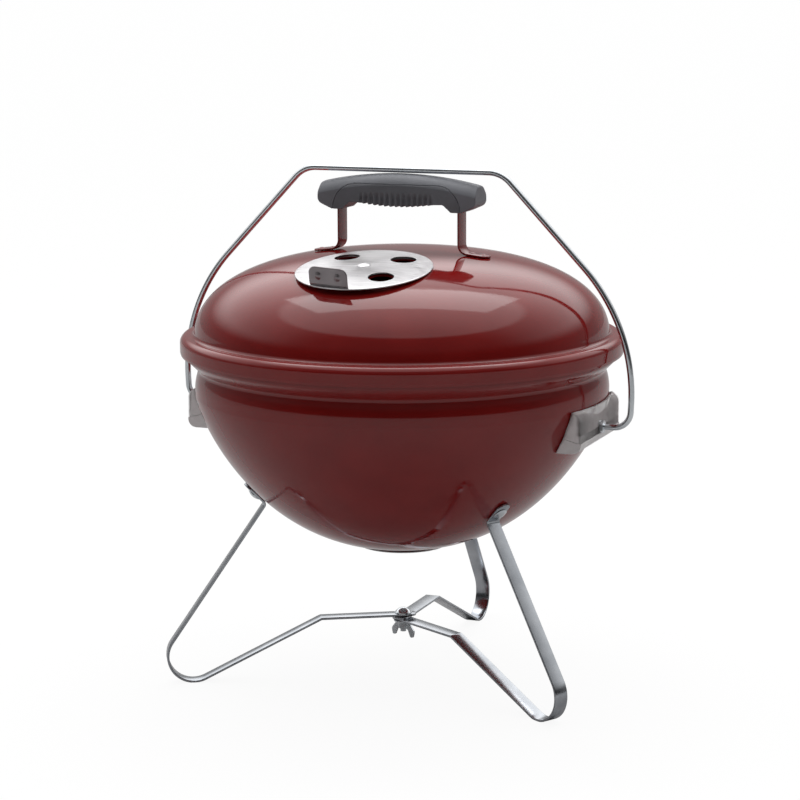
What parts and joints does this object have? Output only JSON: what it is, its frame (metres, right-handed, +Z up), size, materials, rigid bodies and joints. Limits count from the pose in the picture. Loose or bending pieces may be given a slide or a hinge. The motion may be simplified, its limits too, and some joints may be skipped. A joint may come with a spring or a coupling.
{
  "type": "kettle charcoal grill",
  "caption": "Small portable kettle charcoal grill: enamelled bowl and lid, bent strip legs, a carrying bail that swings over the lid, adjustable vents and two wire grates inside.",
  "frame": {"origin": "on the floor, under the axis of the bowl", "axes": "+Z up along the bowl's axis, +X along the pivot axis of the bail, -Y towards the lid damper"},
  "size_m": [0.4062, 0.3888, 0.4335],
  "materials": {
    "enamel_bowl": "gloss enamel",
    "enamel_lid": "gloss enamel",
    "enamel_strap": "gloss enamel",
    "grip_shell": "matte",
    "grip_insert": "matte, ribbed",
    "fastener": "zinc plated",
    "damper": "brushed",
    "rivet": "plain",
    "bail_wire": "bright plated",
    "bail_bracket": "stamped, matte",
    "leg_strip": "bright plated",
    "bolt": "bright plated",
    "wing": "zinc plated",
    "cooking_wire": "plated",
    "charcoal_wire": "plain steel"
  },
  "bodies": {
    "base": {"bowl": "enamel_bowl", "bowl_damper_rivet": "rivet", "bail_bracket_left": "bail_bracket", "bail_bracket_right": "bail_bracket", "bracket_rivets": "rivet", "bail_washers": "fastener", "leg_back": "leg_strip", "leg_left": "leg_strip", "leg_right": "leg_strip", "leg_bolts": "bolt", "leg_washers": "fastener", "leg_nuts": "fastener", "hub_bolt": "bolt", "hub_washers": "fastener"},
    "lid": {"lid": "enamel_lid", "handle_bracket": "enamel_strap", "handle_shell": "grip_shell", "handle_insert": "grip_insert", "handle_screws": "fastener", "lid_damper_rivet": "rivet"},
    "lid_damper": {"lid_damper": "damper"},
    "bowl_damper": {"bowl_damper": "damper"},
    "bail": {"bail": "bail_wire", "bail_stop_nuts": "fastener", "bail_end_nuts": "fastener"},
    "cooking_grate": {"cooking_ring": "cooking_wire", "cooking_grate": "cooking_wire"},
    "charcoal_grate": {"charcoal_ring": "charcoal_wire", "charcoal_grate": "charcoal_wire"},
    "wing_nut": {"wing_nut": "wing"}
  },
  "joints": [
    {"name": "bail_swing", "type": "hinge", "parent": "base", "child": "bail", "pos_m": [0, 0, 0.2255], "axis": [-1, 0, 0], "range_deg": [0, 108]},
    {"name": "lid_lift", "type": "slide", "parent": "base", "child": "lid", "axis": [0, 0, 1], "range_m": [0, 0.022]},
    {"name": "lid_damper_turn", "type": "hinge", "parent": "lid", "child": "lid_damper", "pos_m": [0, -0.083, 0.35936], "axis": [0, -0.1619, 0.9868], "range_deg": [0, 45]},
    {"name": "bowl_damper_turn", "type": "hinge", "parent": "base", "child": "bowl_damper", "pos_m": [0, 0, 0.112], "axis": [0, 0, 1], "range_deg": [0, 60]},
    {"name": "cooking_grate_lift", "type": "slide", "parent": "base", "child": "cooking_grate", "axis": [0, 0, 1], "range_m": [0, 0.012]},
    {"name": "charcoal_grate_lift", "type": "slide", "parent": "base", "child": "charcoal_grate", "axis": [0, 0, 1], "range_m": [0, 0.08]},
    {"name": "wing_nut_turn", "type": "hinge", "parent": "base", "child": "wing_nut", "pos_m": [0, 0, 0.04], "axis": [0, 0, 1], "continuous": true}
  ],
  "couplings": [
    {"joint": "lid_lift", "follows": "bail_swing", "m_per_rad": 0.01}
  ]
}
